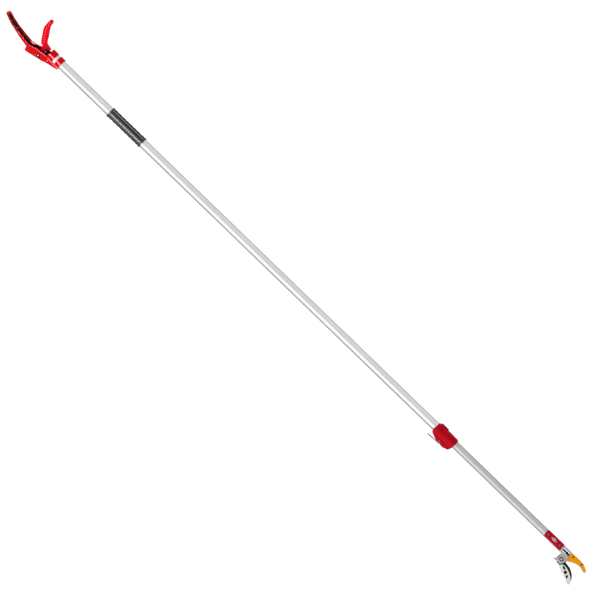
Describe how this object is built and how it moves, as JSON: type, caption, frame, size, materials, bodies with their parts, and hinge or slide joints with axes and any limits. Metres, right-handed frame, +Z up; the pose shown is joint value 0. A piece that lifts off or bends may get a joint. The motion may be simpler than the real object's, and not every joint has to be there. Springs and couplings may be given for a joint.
{
  "type": "telescoping long-reach pruner",
  "caption": "Two-stage clamped pole with a squeeze-lever handle at one end and a rod-driven bypass blade that cuts and holds against a fixed hook at the other.",
  "frame": {"origin": "on the surface the tool lies on, under the middle of its bounding box", "axes": "+X along the pole from the handle to the cutting head, +Y to the side the squeeze lever stands on, +Z up"},
  "size_m": [2.0941, 0.1214, 0.0541],
  "materials": {
    "red_enamel": "glossy enamel",
    "dark_red_plastic": "satin moulded plastic",
    "orange_plastic": "semi-gloss paint",
    "anodised_tube": "drawn and anodised, fine lengthwise grain",
    "cast_aluminium": "fine cast and blasted",
    "badge_metal": "polished",
    "chrome": "polished",
    "zinc_steel": "zinc plated",
    "spring_steel": "drawn wire",
    "stainless": "stamped, satin",
    "hook_steel": "ground",
    "black_blade": "low-friction coating",
    "black_steel": "black oxide",
    "dark_rivet": "browned",
    "black_rubber": "matte moulded rubber",
    "black_nylon": "matte",
    "white_nylon": "matte",
    "white_label": "blank film",
    "brass": "turned"
  },
  "bodies": {
    "handle_and_pole": {"handle_body": "red_enamel", "grip_inlay": "black_rubber", "lever_pivot_pin": "chrome", "pivot_clip": "spring_steel", "collar_screw": "zinc_steel", "label_band": "white_label", "outer_tube": "anodised_tube", "soft_grip": "black_rubber", "rear_rod_guide": "white_nylon", "lock_housing": "dark_red_plastic", "lock_pivot_pin": "zinc_steel", "lock_brake_shoe": "black_nylon", "lock_clamp_plate": "zinc_steel", "lock_clamp_screw": "black_steel", "front_guide_bush": "white_nylon", "lever_return_spring": "spring_steel"},
    "squeeze_lever": {"trigger_lever": "red_enamel", "lever_link_pin": "zinc_steel"},
    "rear_rod": {"pull_yoke": "black_steel", "yoke_rivet": "zinc_steel", "pull_tube": "anodised_tube", "rod_clutch": "brass"},
    "clamp_lever": {"lock_lever": "zinc_steel"},
    "slider": {"tail_bush": "white_nylon"},
    "boom": {"inner_tube": "anodised_tube", "head_cover": "dark_red_plastic", "cover_rivets": "zinc_steel", "cover_badge": "badge_metal", "head_frame": "cast_aluminium", "frame_rivets": "zinc_steel", "hook_blade": "hook_steel", "hold_pad": "orange_plastic", "pad_rivets": "dark_rivet", "pivot_bolt": "chrome", "pivot_nut": "zinc_steel", "pivot_washers": "zinc_steel", "front_rod_bush": "white_nylon"},
    "front_rod": {"pull_rod": "black_steel", "rod_end": "black_steel"},
    "blade": {"cutting_blade": "black_blade", "hold_plate": "stainless", "plate_rivets": "zinc_steel", "blade_link_pin": "zinc_steel"}
  },
  "joints": [
    {"name": "lever_squeeze", "type": "hinge", "parent": "handle_and_pole", "child": "squeeze_lever", "pos_m": [-0.9104, -0.0361, 0.0152], "axis": [0, 0, 1], "range_deg": [0, 46], "stiffness_Nm_per_rad": 0.6, "springref_deg": -28.65, "deforming": ["lever_return_spring"]},
    {"name": "rear_rod_pull", "type": "slide", "parent": "handle_and_pole", "child": "rear_rod", "axis": [-1, 0, 0], "range_m": [0, 0.0158]},
    {"name": "clamp_open", "type": "hinge", "parent": "handle_and_pole", "child": "clamp_lever", "pos_m": [0.5365, -0.03372, 0.02316], "axis": [0, 0.3827, 0.9239], "range_deg": [0, 70]},
    {"name": "telescope", "type": "slide", "parent": "handle_and_pole", "child": "slider", "axis": [1, 0, 0], "range_m": [-0.29, 0.9]},
    {"name": "head_swivel", "type": "hinge", "parent": "slider", "child": "boom", "pos_m": [0.959, -0.0145, 0.0152], "axis": [1, 0, 0], "continuous": true},
    {"name": "front_rod_pull", "type": "slide", "parent": "boom", "child": "front_rod", "axis": [-1, 0, 0], "range_m": [0, 0.0158]},
    {"name": "blade_close", "type": "hinge", "parent": "boom", "child": "blade", "pos_m": [0.977, -0.03327, 0.02884], "axis": [0, 0.5878, 0.809], "range_deg": [0, 39.2]}
  ],
  "couplings": [
    {"joint": "rear_rod_pull", "follows": "lever_squeeze", "m_per_rad": 0.019467},
    {"joint": "front_rod_pull", "follows": "lever_squeeze", "m_per_rad": 0.019467},
    {"joint": "blade_close", "follows": "lever_squeeze", "ratio": 0.84783}
  ]
}
